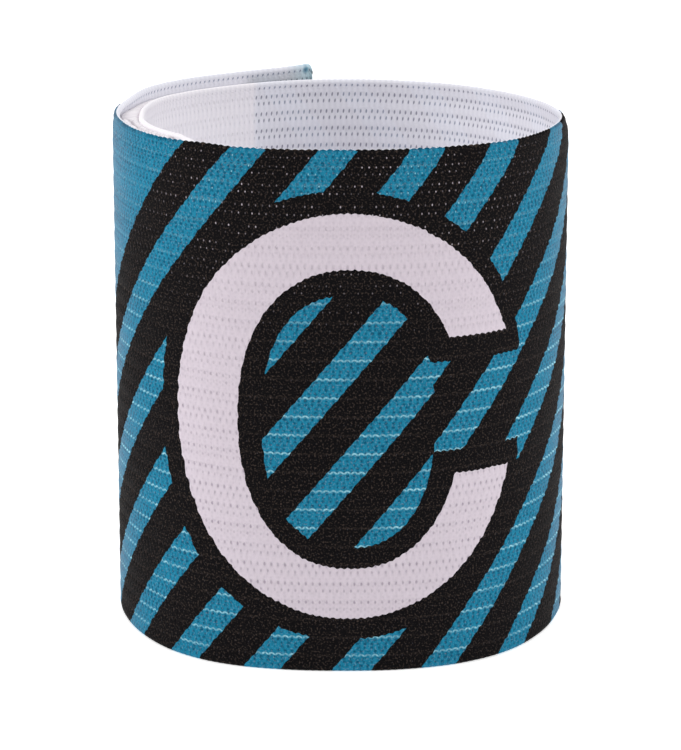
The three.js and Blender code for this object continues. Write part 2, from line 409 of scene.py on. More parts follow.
def teal_stripes(tree, along, up, jagged_along, jagged_up, counter, outline):
    """Diagonal stripes, drawn a little unevenly, and the plain teal of the tail end."""
    shift = FIRST_SHIFT
    for start, end, rise in STRIPE_SHIFTS:
        step = add(
            tree, "ShaderNodeMapRange",
            {
                "Value": along, "From Min": start, "From Max": end, "To Min": 0.0,
                "To Max": rise,
            },
            interpolation_type="SMOOTHSTEP",
        )
        shift = add(tree, "ShaderNodeMath", {0: shift, 1: step}, operation="ADD")
    far_left = add(
        tree, "ShaderNodeMapRange",
        {"Value": along, "From Min": -20.0, "From Max": -42.0, "To Min": 0.0, "To Max": 0.02},
        interpolation_type="SMOOTHSTEP",
    )
    above = add(tree, "ShaderNodeMath", {0: up, 1: 20.0}, operation="SUBTRACT")
    shift = add(
        tree, "ShaderNodeMath", {0: above, 1: far_left, 2: shift}, operation="MULTIPLY_ADD"
    )
    shift = add(tree, "ShaderNodeMix", {0: counter, 2: shift, 3: COUNTER_SHIFT})
    height = add(
        tree, "ShaderNodeMath", {0: jagged_along, 1: -STRIPE_RISE, 2: jagged_up},
        operation="MULTIPLY_ADD",
    )
    height = add(tree, "ShaderNodeMath", {0: height, 1: shift}, operation="SUBTRACT")
    phase = add(tree, "ShaderNodeMath", {0: height, 1: STRIPE_PHASE}, operation="SUBTRACT")
    within = add(tree, "ShaderNodeMath", {0: phase, 1: STRIPE_PERIOD}, operation="FLOORED_MODULO")
    striped = add(tree, "ShaderNodeMath", {0: within, 1: TEAL_HEIGHT}, operation="LESS_THAN")
    plain = add(tree, "ShaderNodeMath", {0: height, 1: PLAIN_TEAL_FROM}, operation="GREATER_THAN")
    teal = add(tree, "ShaderNodeMath", {0: striped, 1: plain}, operation="MAXIMUM")

    no_outline = add(tree, "ShaderNodeMath", {0: 1.0, 1: outline}, operation="SUBTRACT")
    return add(tree, "ShaderNodeMath", {0: teal, 1: no_outline}, operation="MULTIPLY")


def pinholes(tree, course, row):
    """A clear row of pinholes and a fainter one below it, half a course along."""
    holes = []
    sites = []
    for shift_along, shift_up, (wide, tall) in (
        (0.0, 0.0, FIRST_HOLE), (0.5, SECOND_ROW / ROW, SECOND_HOLE)
    ):
        offsets = []
        cells = []
        for value, shift, pitch, half in (
            (course, shift_along, COURSE, wide), (row, shift_up, ROW, tall)
        ):
            moved = add(tree, "ShaderNodeMath", {0: value, 1: shift + 0.5}, operation="ADD")
            cells.append(add(tree, "ShaderNodeMath", {0: moved}, operation="FLOOR"))
            part = add(tree, "ShaderNodeMath", {0: moved}, operation="FRACT")
            offsets.append(add(
                tree, "ShaderNodeMath",
                {0: part, 1: pitch / half, 2: -0.5 * pitch / half},
                operation="MULTIPLY_ADD",
            ))
        offset = add(tree, "ShaderNodeCombineXYZ", {0: offsets[0], 1: offsets[1]})
        away = add(tree, "ShaderNodeVectorMath", {0: offset}, out=1, operation="LENGTH")
        hole = add(
            tree, "ShaderNodeMapRange",
            {"Value": away, "From Min": 1.25, "From Max": 0.45, "To Min": 0.0, "To Max": 1.0},
            interpolation_type="SMOOTHSTEP",
        )
        cell = add(tree, "ShaderNodeCombineXYZ", {0: cells[0], 1: cells[1], 2: shift_along})
        chance = add(tree, "ShaderNodeTexWhiteNoise", {"Vector": cell}, noise_dimensions="3D")
        force = add(
            tree, "ShaderNodeMath", {0: chance, 1: 0.45, 2: 0.55}, operation="MULTIPLY_ADD"
        )
        holes.append(add(tree, "ShaderNodeMath", {0: hole, 1: force}, operation="MULTIPLY"))
        sites.append((offsets, chance, away))
    first_hole, second_hole = holes
    hole = add(
        tree, "ShaderNodeMath", {0: second_hole, 1: 0.7, 2: first_hole},
        operation="MULTIPLY_ADD", use_clamp=True,
    )
    return hole, sites


def white_arches(tree, site, up, fibre):
    """The white ground, which shows as a small arch over each clear pinhole."""
    (arch_along, arch_up), arch_chance, _ = site
    arch_offset = add(
        tree, "ShaderNodeCombineXYZ",
        {
            0: add(tree, "ShaderNodeMath", {0: arch_along, 1: 0.46}, operation="MULTIPLY"),
            1: add(
                tree, "ShaderNodeMath", {0: arch_up, 1: 0.85, 2: 0.15},
                operation="MULTIPLY_ADD",
            ),
        },
    )
    arch_away = add(tree, "ShaderNodeVectorMath", {0: arch_offset}, out=1, operation="LENGTH")
    arch_miss = add(tree, "ShaderNodeMath", {0: arch_away, 1: 1.0}, operation="SUBTRACT")
    arch_miss = add(tree, "ShaderNodeMath", {0: arch_miss}, operation="ABSOLUTE")
    arch = add(
        tree, "ShaderNodeMapRange",
        {"Value": arch_miss, "From Min": 0.6, "From Max": 0.2, "To Min": 0.0, "To Max": 1.0},
        interpolation_type="SMOOTHSTEP",
    )
    arch_top = add(
        tree, "ShaderNodeMapRange",
        {"Value": arch_up, "From Min": -0.3, "From Max": 0.5, "To Min": 0.0, "To Max": 1.0},
    )
    arch = add(tree, "ShaderNodeMath", {0: arch, 1: arch_top}, operation="MULTIPLY")
    arch_force = add(
        tree, "ShaderNodeMath", {0: arch_chance, 1: 0.6, 2: 0.4}, operation="MULTIPLY_ADD"
    )
    arch = add(tree, "ShaderNodeMath", {0: arch, 1: arch_force}, operation="MULTIPLY")
    lower_down = add(
        tree, "ShaderNodeMapRange",
        {"Value": up, "From Min": 70.0, "From Max": 48.0, "To Min": 0.2, "To Max": 1.0},
        interpolation_type="SMOOTHSTEP",
    )
    arch = add(tree, "ShaderNodeMath", {0: arch, 1: lower_down}, operation="MULTIPLY")
    broken = add(
        tree, "ShaderNodeMapRange",
        {"Value": fibre, "From Min": 0.35, "From Max": 0.55, "To Min": 0.35, "To Max": 1.0},
    )
    return add(tree, "ShaderNodeMath", {0: arch, 1: broken}, operation="MULTIPLY")


def stitch_ticks(tree, course, row):
    """Stitches between the rows: five to a row, drawn as short ticks of painted shade."""
    tick_row = add(tree, "ShaderNodeMath", {0: row, 1: 5.0}, operation="MULTIPLY")
    half_up = add(tree, "ShaderNodeMath", {0: tick_row, 1: 0.5}, operation="MULTIPLY")
    half_up = add(tree, "ShaderNodeMath", {0: half_up}, operation="FLOOR")
    tick_wave = add(tree, "ShaderNodeMath", {0: tick_row, 1: 0.5}, operation="PINGPONG")
    tick_course = add(
        tree, "ShaderNodeMath", {0: half_up, 1: 0.5, 2: course}, operation="MULTIPLY_ADD"
    )
    streak = add(tree, "ShaderNodeMath", {0: tick_course, 1: 0.5}, operation="PINGPONG")
    streak = add(
        tree, "ShaderNodeMapRange",
        {"Value": streak, "From Min": 0.05, "From Max": 0.35, "To Min": 1.0, "To Max": 0.0},
    )
    tick = add(
        tree, "ShaderNodeMapRange",
        {"Value": tick_wave, "From Min": 0.1, "From Max": 0.42, "To Min": 0.25, "To Max": 1.0},
    )
    tick = add(tree, "ShaderNodeMath", {0: tick, 1: streak}, operation="MULTIPLY")
    stitch = add(
        tree, "ShaderNodeCombineXYZ",
        {
            0: add(tree, "ShaderNodeMath", {0: tick_course}, operation="FLOOR"),
            1: add(tree, "ShaderNodeMath", {0: tick_row}, operation="FLOOR"),
        },
    )
    stitch_chance = add(tree, "ShaderNodeTexWhiteNoise", {"Vector": stitch}, noise_dimensions="3D")
    tick_force = add(
        tree, "ShaderNodeMath", {0: stitch_chance, 1: 0.6, 2: 0.4}, operation="MULTIPLY_ADD"
    )
    return add(tree, "ShaderNodeMath", {0: tick, 1: tick_force}, operation="MULTIPLY")


def lit_pinholes(tree, sites, sideways, up):
    """Light through the pinholes: bright dots near the upper edge, and hardly any lower."""
    high_up = add(
        tree, "ShaderNodeMapRange",
        {"Value": up, "From Min": 52.0, "From Max": 80.0, "To Min": 0.06, "To Max": 1.0},
        interpolation_type="SMOOTHSTEP",
    )
    dots = []
    for (_, chance, away), share in zip(sites, (1.0, 0.85)):
        dot = add(
            tree, "ShaderNodeMapRange",
            {"Value": away, "From Min": 0.75, "From Max": 0.2, "To Min": 0.0, "To Max": share},
            interpolation_type="SMOOTHSTEP",
        )
        glow = add(tree, "ShaderNodeMath", {0: chance, 1: 1.6}, operation="POWER")
        dots.append(add(tree, "ShaderNodeMath", {0: dot, 1: glow}, operation="MULTIPLY"))
    lit = add(tree, "ShaderNodeMath", {0: dots[0], 1: dots[1]}, operation="MAXIMUM")
    facing = add(
        tree, "ShaderNodeMapRange",
        {"Value": sideways, "From Min": 38.0, "From Max": 16.0, "To Min": 0.25, "To Max": 1.0},
        interpolation_type="SMOOTHSTEP",
    )
    lit = add(tree, "ShaderNodeMath", {0: lit, 1: facing}, operation="MULTIPLY")
    return add(tree, "ShaderNodeMath", {0: lit, 1: high_up}, operation="MULTIPLY")


def teal_print(tree, colour, fibre, tick, flecks, sideways, ground_arches_and_lit_dots):
    """Teal, with painted stitch shade, and painted sheen that pales it towards the sides."""
    # Random darker fibres, and painted shade at the stitches
    teal_mix = add(tree, "ShaderNodeMath", {0: fibre, 1: 2.4, 2: -1.1}, operation="MULTIPLY_ADD")
    teal_mix = add(
        tree, "ShaderNodeMath", {0: tick, 1: 1.4, 2: teal_mix}, operation="MULTIPLY_ADD",
        use_clamp=True,
    )
    teal_colour = add(
        tree, "ShaderNodeMix",
        {0: teal_mix, 6: colour["teal"], 7: colour["teal shade"]}, out=2, data_type="RGBA",
    )
    # Painted sheen pales the teal towards the sides; the flecks add random paler patches
    side_sheen_and_pale_flecks = add(
        tree, "ShaderNodeMapRange",
        {"Value": sideways, "From Min": 34.0, "From Max": 62.0, "To Min": 0.0, "To Max": 0.2},
        interpolation_type="SMOOTHSTEP",
    )
    paler = add(
        tree, "ShaderNodeMath", {0: flecks, 1: 0.8, 2: -0.44}, operation="MULTIPLY_ADD",
        use_clamp=True,
    )
    side_sheen_and_pale_flecks = add(tree, "ShaderNodeMath", {0: side_sheen_and_pale_flecks, 1: paler}, operation="ADD")
    teal_colour = add(
        tree, "ShaderNodeMix",
        {0: side_sheen_and_pale_flecks, 6: teal_colour, 7: colour["white"]}, out=2, data_type="RGBA",
    )
    return add(
        tree, "ShaderNodeMix",
        {0: ground_arches_and_lit_dots, 6: teal_colour, 7: colour["teal light"]}, out=2, data_type="RGBA",
    )


def black_print(tree, colour, flecks, arch, lit):
    """Black with stray brown fibres."""
    black_mix = add(
        tree, "ShaderNodeMath", {0: flecks, 1: 2.6, 2: -1.42}, operation="MULTIPLY_ADD",
        use_clamp=True,
    )
    black_mix = add(
        tree, "ShaderNodeMath", {0: arch, 1: 0.16, 2: black_mix}, operation="MULTIPLY_ADD",
        use_clamp=True,
    )
    black_colour = add(
        tree, "ShaderNodeMix",
        {0: black_mix, 6: colour["black"], 7: colour["black light"]}, out=2,
        data_type="RGBA",
    )
    return add(
        tree, "ShaderNodeMix",
        {0: lit, 6: black_colour, 7: colour["white"]}, out=2, data_type="RGBA",
    )


def white_print(tree, colour, fibre, tick, hole, up):
    """The letter's white ground, with painted shade in its pinholes, clearer lower down."""
    white_mix = add(tree, "ShaderNodeMath", {0: fibre, 1: 0.5, 2: -0.2}, operation="MULTIPLY_ADD")
    # Painted shade at the stitches
    white_mix = add(
        tree, "ShaderNodeMath", {0: tick, 1: 0.2, 2: white_mix}, operation="MULTIPLY_ADD"
    )
    # Painted shade in the pinholes, stronger lower down
    pinhole_shade = add(
        tree, "ShaderNodeMapRange",
        {"Value": up, "From Min": 30.0, "From Max": 64.0, "To Min": 0.7, "To Max": 0.2},
    )
    pinhole_shade = add(tree, "ShaderNodeMath", {0: pinhole_shade, 1: hole}, operation="MULTIPLY")
    white_mix = add(
        tree, "ShaderNodeMath", {0: pinhole_shade, 1: white_mix}, operation="ADD",
        use_clamp=True,
    )
    return add(
        tree, "ShaderNodeMix",
        {0: white_mix, 6: colour["white"], 7: colour["white shade"]}, out=2,
        data_type="RGBA",
    )


def inner_face(tree, colour, place, along, tooth, sites, outside):
    """The inside, and the printed face with the loop patch's white over it.

    The inside is a white ground, with the print showing faintly through it and clearly
    through the pinholes, which also hold painted shade, except over the loop patch.
    Painted shade also marks its ribs, one to each course.
    """
    patch_from = float(cloth_of_turn(turn_along_inner_end(PATCH_SETBACK + LOOP_PATCH_LENGTH)))
    patched = add(
        tree, "ShaderNodeMapRange",
        {
            "Value": along, "From Min": patch_from - 0.4, "From Max": patch_from + 0.4,
            "To Min": 0.0, "To Max": 1.0,
        },
    )
    outside = add(
        tree, "ShaderNodeMix",
        {0: patched, 6: outside, 7: colour["inside patch"]}, out=2, data_type="RGBA",
    )
    # Painted shade for the pinholes, with a third of the print seen through them
    behind = add(
        tree, "ShaderNodeMix",
        {0: 0.3, 6: colour["inside shade"], 7: outside}, out=2, data_type="RGBA",
    )
    ground = add(
        tree, "ShaderNodeMix",
        {0: 0.07, 6: colour["inside"], 7: outside}, out=2, data_type="RGBA",
    )
    ground = add(
        tree, "ShaderNodeMix",
        {0: patched, 6: ground, 7: colour["inside patch"]}, out=2, data_type="RGBA",
    )
    end_tint = add(
        tree, "ShaderNodeMapRange",
        {
            "Value": along, "From Min": float(cloth[-1]) + 6, "From Max": float(cloth[-1]) + 1,
            "To Min": 0.0, "To Max": 0.6,
        },
    )
    ground = add(
        tree, "ShaderNodeMix",
        {0: end_tint, 6: ground, 7: colour["teal light"]}, out=2, data_type="RGBA",
    )
    spot = add(
        tree, "ShaderNodeVectorMath",
        {0: place, 1: (float(cloth[-1]) + 1.9, BAND_HEIGHT - 1.0, 0)}, out=1,
        operation="DISTANCE",
    )
    spot = add(
        tree, "ShaderNodeMapRange",
        {"Value": spot, "From Min": 0.9, "From Max": 0.2, "To Min": 0.0, "To Max": 0.9},
    )
    ground = add(
        tree, "ShaderNodeMix", {0: spot, 6: ground, 7: colour["teal"]}, out=2,
        data_type="RGBA",
    )
    slanted = []
    for offsets, _, _ in sites:
        lean = add(
            tree, "ShaderNodeMath", {0: offsets[1], 1: 0.22, 2: offsets[0]},
            operation="MULTIPLY_ADD",
        )
        tall = add(tree, "ShaderNodeMath", {0: offsets[1], 1: 0.68}, operation="MULTIPLY")
        drop = add(tree, "ShaderNodeCombineXYZ", {0: lean, 1: tall})
        drop = add(tree, "ShaderNodeVectorMath", {0: drop}, out=1, operation="LENGTH")
        slanted.append(add(
            tree, "ShaderNodeMapRange",
            {"Value": drop, "From Min": 1.2, "From Max": 0.4, "To Min": 0.0, "To Max": 1.0},
            interpolation_type="SMOOTHSTEP",
        ))
    slant = add(tree, "ShaderNodeMath", {0: slanted[0], 1: slanted[1]}, operation="MAXIMUM")
    # The pinholes take the painted shade, less of it over the loop patch
    inner_hole = add(
        tree, "ShaderNodeMath", {0: patched, 1: -0.7, 2: 0.8}, operation="MULTIPLY_ADD"
    )
    inner_hole = add(tree, "ShaderNodeMath", {0: inner_hole, 1: slant}, operation="MULTIPLY")
    # Painted shade on the ribs, one to each course
    rib_shade = add(tree, "ShaderNodeMath", {0: tooth, 1: 0.22}, operation="MULTIPLY")
    ground = add(
        tree, "ShaderNodeMix", {0: rib_shade, 6: ground, 7: colour["inside shade"]}, out=2,
        data_type="RGBA",
    )
    inside = add(
        tree, "ShaderNodeMix", {0: inner_hole, 6: ground, 7: behind}, out=2,
        data_type="RGBA",
    )
    return inside, outside


def knit_material():
    """Polyester warp knit with elastic, dye-sublimation printed on one face: matt, softly
    shining at a glancing angle, with rows of pinholes where the white ground shows."""
    material, tree = new_material("printed_polyester_knit")
    colour = {name: linear(value) for name, value in COLOURS.items()}

    uv = add(tree, "ShaderNodeUVMap", {}, uv_map="cloth")
    place = add(tree, "ShaderNodeVectorMath", {0: uv, 1: (1000, 1000, 0)}, operation="MULTIPLY")
    along = add(tree, "ShaderNodeSeparateXYZ", {0: place})
    up = add(tree, "ShaderNodeSeparateXYZ", {0: place}, out=1)
    printed = add(tree, "ShaderNodeAttribute", {}, out=2, attribute_name="printed")

    # Where a point lies within its course and its row
    course = add(tree, "ShaderNodeMath", {0: along, 1: COURSE}, operation="DIVIDE")
    row = add(tree, "ShaderNodeAttribute", {}, out=2, attribute_name="row")
    tooth = add(tree, "ShaderNodeMath", {0: course, 1: 0.5}, operation="PINGPONG")
    wave = add(tree, "ShaderNodeMath", {0: row, 1: 0.5}, operation="PINGPONG")
    grain = add(
        tree, "ShaderNodeTexNoise", {"Vector": place, "Scale": 1.1, "Detail": 2.0},
        noise_dimensions="2D",
    )
    stray = add(tree, "ShaderNodeMath", {0: grain, 1: 0.5}, operation="SUBTRACT")

    # The print's edge steps from stitch to stitch
    tooth_lift = add(tree, "ShaderNodeMath", {0: tooth, 1: 0.4, 2: -0.1}, operation="MULTIPLY_ADD")
    wave_shift = add(tree, "ShaderNodeMath", {0: wave, 1: 0.3, 2: -0.08}, operation="MULTIPLY_ADD")
    jagged_up = add(tree, "ShaderNodeMath", {0: up, 1: tooth_lift}, operation="ADD")
    jagged_up = add(
        tree, "ShaderNodeMath", {0: stray, 1: 0.25, 2: jagged_up}, operation="MULTIPLY_ADD"
    )
    jagged_along = add(tree, "ShaderNodeMath", {0: along, 1: wave_shift}, operation="ADD")
    jagged_along = add(
        tree, "ShaderNodeMath", {0: stray, 1: 0.25, 2: jagged_along}, operation="MULTIPLY_ADD"
    )

    letter, outline, counter = letter_and_outline(tree, jagged_along, jagged_up)
    teal = teal_stripes(tree, along, up, jagged_along, jagged_up, counter, outline)
    hole, sites = pinholes(tree, course, row)
    tick = stitch_ticks(tree, course, row)
    fibre = add(
        tree, "ShaderNodeTexNoise",
        {
            "Vector": add(
                tree, "ShaderNodeVectorMath", {0: place, 1: (2.4, 0.9, 0)},
                operation="MULTIPLY",
            ),
            "Scale": 1.0, "Detail": 3.0, "Roughness": 0.7,
        },
        noise_dimensions="2D",
    )
    arch = white_arches(tree, sites[0], up, fibre)
    sideways = add(tree, "ShaderNodeMath", {0: along}, operation="ABSOLUTE")
    lit = lit_pinholes(tree, sites, sideways, up)

    # Colours of the printed face
    flecks = add(
        tree, "ShaderNodeTexNoise", {"Vector": place, "Scale": 3.1, "Detail": 3.0},
        noise_dimensions="2D",
    )
    # The white ground's arches, and painted light through the pinholes
    ground_arches_and_lit_dots = add(tree, "ShaderNodeMath", {0: arch, 1: lit}, operation="MAXIMUM")
    teal_colour = teal_print(tree, colour, fibre, tick, flecks, sideways, ground_arches_and_lit_dots)
    black_colour = black_print(tree, colour, flecks, arch, lit)
    white_colour = white_print(tree, colour, fibre, tick, hole, up)
    outside = add(
        tree, "ShaderNodeMix", {0: teal, 6: black_colour, 7: teal_colour}, out=2,
        data_type="RGBA",
    )
    outside = add(
        tree, "ShaderNodeMix", {0: letter, 6: outside, 7: white_colour}, out=2,
        data_type="RGBA",
    )
    inside, outside = inner_face(tree, colour, place, along, tooth, sites, outside)
    is_printed = add(tree, "ShaderNodeMath", {0: printed, 1: 0.5}, operation="GREATER_THAN")
    base = add(
        tree, "ShaderNodeMix", {0: is_printed, 6: inside, 7: outside}, out=2,
        data_type="RGBA",
    )

    # Relief in millimetres
    relief = add(tree, "ShaderNodeMath", {0: hole, 1: -0.12}, operation="MULTIPLY")
    relief = add(tree, "ShaderNodeMath", {0: arch, 1: 0.05, 2: relief}, operation="MULTIPLY_ADD")
    relief = add(tree, "ShaderNodeMath", {0: tick, 1: -0.05, 2: relief}, operation="MULTIPLY_ADD")
    relief = add(tree, "ShaderNodeMath", {0: fibre, 1: 0.06, 2: relief}, operation="MULTIPLY_ADD")
    bump = add(tree, "ShaderNodeBump", {"Strength": 0.8, "Distance": MM, "Height": relief})
    shader = add(
        tree, "ShaderNodeBsdfPrincipled",
        {
            "Base Color": base, "Roughness": 0.82, "IOR": 1.5, "Normal": bump,
            "Specular IOR Level": 0.06, "Sheen Weight": 0.06, "Sheen Roughness": 0.25,
            "Sheen Tint": linear("#ffffff"),
        },
    )
    add(tree, "ShaderNodeOutputMaterial", {"Surface": shader})
    return material


def turn_along_inner_end(length):
    """How far round a length reaches from the inner end."""
    return float(np.interp(length, travelled, fine_turns))


def make_piece(name, points, faces, cloth_points, printed, rows, material):
    """A smooth-shaded mesh in metres, with its place on the cloth as a UV map."""
    mesh = bpy.data.meshes.new(name)
    mesh.from_pydata((np.asarray(points) * MM).tolist(), [], faces)
    mesh.validate()
    layer = mesh.uv_layers.new(name="cloth")
    corner_vertex = np.empty(len(mesh.loops), np.int32)
    mesh.loops.foreach_get("vertex_index", corner_vertex)
    flat = np.asarray(cloth_points, np.float32)[corner_vertex] * MM
    layer.uv.foreach_set("vector", flat.ravel())
    for kind, values in (("printed", printed), ("row", rows)):
        attribute = mesh.attributes.new(kind, "FLOAT", "POINT")
        attribute.data.foreach_set("value", np.asarray(values, np.float32))
    mesh.polygons.foreach_set("use_smooth", np.ones(len(mesh.polygons), bool))
    mesh.materials.append(material)
    piece = bpy.data.objects.new(name, mesh)
    bpy.context.scene.collection.objects.link(piece)
    return piece


def zip_rows(rows_a, ids_a, rows_b, ids_b):
    """Faces between two neighbouring columns, whose rows may be closer on one of them."""
    if len(rows_a) == len(rows_b):
        return [
            (ids_a[i], ids_a[i + 1], ids_b[i + 1], ids_b[i]) for i in range(len(rows_a) - 1)
        ]
    faces = []
    a = b = 0
    while a < len(rows_a) - 1 or b < len(rows_b) - 1:
        ahead_a = rows_a[a + 1] if a < len(rows_a) - 1 else math.inf
        ahead_b = rows_b[b + 1] if b < len(rows_b) - 1 else math.inf
        if ahead_a <= ahead_b:
            faces.append((ids_a[a], ids_a[a + 1], ids_b[b]))
            a += 1
        else:
            faces.append((ids_a[a], ids_b[b + 1], ids_b[b]))
            b += 1
    return faces


def knit_rows():
    """The mesh's rows before easing, each with its kind: clear pinholes, faint ones or crest."""
    rows = [(0.7, "crest"), (ROW_FOOT - SECOND_ROW, "second")]
    count = int((BAND_HEIGHT - 1 - ROW_FOOT) / ROW) + 1
    for i in range(count):
        first = ROW_FOOT + i * ROW
        if i:
            rows += [(first - CREST, "crest"), (first - SECOND_ROW, "second")]
        rows.append((first, "first"))
    top = ROW_FOOT + count * ROW
    rows += [(top - CREST, "crest"), (top - SECOND_ROW, "second"), (top - 0.5, "crest")]
    return rows


def knit_band(material):
    """The wound strip, dipping at its pinholes and rounded at both rims."""
    half = COURSE / 2
    first_column = math.ceil(cloth[-1] / half)
    last_column = math.floor(cloth[0] / half)
    numbers = list(range(last_column, first_column - 1, -1))
    places = [number * half for number in numbers]
    if cloth[0] - places[0] > 0.1:
        places.insert(0, float(cloth[0]))
        numbers.insert(0, numbers[0] + 1)
    if places[-1] - cloth[-1] > 0.1:
        places.append(float(cloth[-1]))
        numbers.append(numbers[-1] - 1)
    places = np.array(places)
    numbers = np.array(numbers)
    turns = turn_of_cloth(places)
    low, high = edges_at(turns)
    from_end = np.minimum(turns, SWEEP - turns) * math.radians(1) * BAND_RADIUS
    near = np.clip(CORNER_RADIUS - from_end, 0, CORNER_RADIUS)
    cut = CORNER_RADIUS - np.sqrt(CORNER_RADIUS**2 - near**2)
    low = low + cut
    high = high - cut

    rows = knit_rows()
    coarse = [
        i for i, (height, _) in enumerate(rows)
        if height < RIM_ZONE or height > BAND_HEIGHT - RIM_ZONE or i % HIDDEN_STEP == 0
    ]
    every = list(range(len(rows)))
    patch_end = turn_along_inner_end(PATCH_SETBACK + LOOP_PATCH_LENGTH)
    points = []
    cloth_points = []
    printed = []
    row_places = []
    columns = []
    for i, turn in enumerate(turns):
        outer_rows = coarse if turn < OVERLAP - 3 else every
        inner_rows = coarse if turn > FULL_TURN + 3 else every
        odd = numbers[i] % 2
        ring = {}
        stretch = (high[i] - low[i]) / BAND_HEIGHT
        heights = eased(np.array([row_height for row_height, _ in rows]), turn)
        for name, chosen in (("outer", outer_rows), ("inner", inner_rows)):
            ids = []
            for j in chosen:
                row_height, kind = rows[j]
                height = heights[j]
                dip = DIPS[kind][odd]
                if name == "inner" and turn < patch_end:
                    dip *= PATCH_DIP_SHARE
                depth = dip if name == "outer" else KNIT_THICKNESS - dip
                ids.append(len(points))
                points.append((turn, depth, low[i] + height * stretch, low[i], high[i]))
                cloth_points.append((places[i], height))
                row_places.append((row_height - ROW_FOOT) / ROW)
                printed.append(1.0 if name == "outer" else 0.0)
            ring[name] = ([rows[j][0] for j in chosen], ids)
        front = abs(from_front_at(turn)) < LOOPS_REACH
        dent = (FRONT_DENTS if front else BACK_DENTS)[odd]
        rims = (
            ("top", 1, high[i] + dent, TOP_ROUNDING, TOP_RISE, (1, int(front), 0, 0, 0)),
            ("foot", -1, low[i] + FOOT_DENTS[odd], FOOT_ROUNDING, FOOT_RISE, (1, 1, 1, 0, 0)),
        )
        for name, sign, edge, rounding, rise, shares in rims:
            ids = []
            for angle, share in zip(RIM_ANGLES, shares):
                depth = rounding - rounding * math.cos(math.radians(angle))
                lift = rise * math.sin(math.radians(angle))
                z = edge + sign * (lift - rise)
                ids.append(len(points))
                points.append((turn, depth, z, low[i], high[i]))
                height = BAND_HEIGHT - RIM_PRINT if sign > 0 else RIM_PRINT
                cloth_points.append((places[i], height))
                row_places.append((rows[-1 if sign > 0 else 0][0] - ROW_FOOT) / ROW)
                printed.append(share)
            ring[name] = ids
        columns.append(ring)
    table = np.array(points)
    points = settle(table[:, 0], table[:, 1], table[:, 2], table[:, 3], table[:, 4])

    faces = []
    for a, b in zip(columns[:-1], columns[1:]):
        faces += zip_rows(*a["outer"], *b["outer"])
        chain_a = [a["outer"][1][-1]] + a["top"] + [a["inner"][1][-1]]
        chain_b = [b["outer"][1][-1]] + b["top"] + [b["inner"][1][-1]]
        faces += zip_rows(chain_a, chain_a, chain_b, chain_b)
        faces += [face[::-1] for face in zip_rows(*a["inner"], *b["inner"])]
        chain_a = [a["outer"][1][0]] + a["foot"] + [a["inner"][1][0]]
        chain_b = [b["outer"][1][0]] + b["foot"] + [b["inner"][1][0]]
        faces += [face[::-1] for face in zip_rows(chain_a, chain_a, chain_b, chain_b)]
    for ring, turned in ((columns[0], True), (columns[-1], False)):
        edge = ring["outer"][1] + ring["top"] + ring["inner"][1][::-1] + ring["foot"][::-1]
        faces.append(tuple(edge[::-1] if turned else edge))
    return make_piece(
        "knit_band_cloth", points, faces, cloth_points, printed, row_places, material
    )


def rim_loops(material):
    """The little loops of yarn along the printed upper edge, one to each course."""
    last = math.floor(LOOPS_REACH / COURSE)
    points = []
    cloth_points = []
    faces = []
    rng = np.random.default_rng(11)
    for number in range(-last, last):
        place = (number + 0.5) * COURSE
        turn = float(turn_of_cloth(place))
        high = float(edges_at(turn)[1])
        foot = loop_point(turn) + loop_middle
        normal = plan_normal(turn)
        along = np.array((normal[1], -normal[0]))
        pitch = float(np.interp(turn, fine_turns, cloth_per_mm))
        below = turn - FULL_TURN if turn > FULL_TURN else turn
        rolled = ROLL_DEPTH * float(roll_at(below))
        tilt = rng.normal(0, 0.05)
        size = rng.uniform(0.9, 1.1)
        start = len(points)
        for angle in LOOP_BEND:
            at = math.radians(angle)
            middle_along = LOOP_HALF_WIDTH / pitch * math.cos(at) + tilt * math.sin(at)
            middle_up = LOOP_RISE * size * math.sin(at)
            middle_depth = LOOP_DEPTH + LOOP_LEAN * math.sin(at)
            for side in range(YARN_SIDES):
                spin = 2 * math.pi * side / YARN_SIDES
                out = YARN_RADIUS * math.cos(spin)
                depth = middle_depth + YARN_RADIUS * math.sin(spin)
                step = middle_along + out * math.cos(at)
                xy = foot + along * step - normal * (depth + rolled)
                z = high - LOOP_FOOT + middle_up + out * math.sin(at)
                points.append((xy[0], xy[1], z))
                cloth_points.append((place, BAND_HEIGHT - 0.25))
        for ring in range(len(LOOP_BEND) - 1):
            for side in range(YARN_SIDES):
                a = start + ring * YARN_SIDES + side
                b = start + ring * YARN_SIDES + (side + 1) % YARN_SIDES
                faces.append((a + YARN_SIDES, b + YARN_SIDES, b, a))
        end = start + (len(LOOP_BEND) - 1) * YARN_SIDES
        faces.append(tuple(range(start, start + YARN_SIDES)))
        faces.append(tuple(range(end + YARN_SIDES - 1, end - 1, -1)))
    rows = np.full(len(points), (BAND_HEIGHT - 0.6 - ROW_FOOT) / ROW)
    return make_piece(
        "knit_rim_loops", points, faces, cloth_points, np.ones(len(points)), rows, material
    )


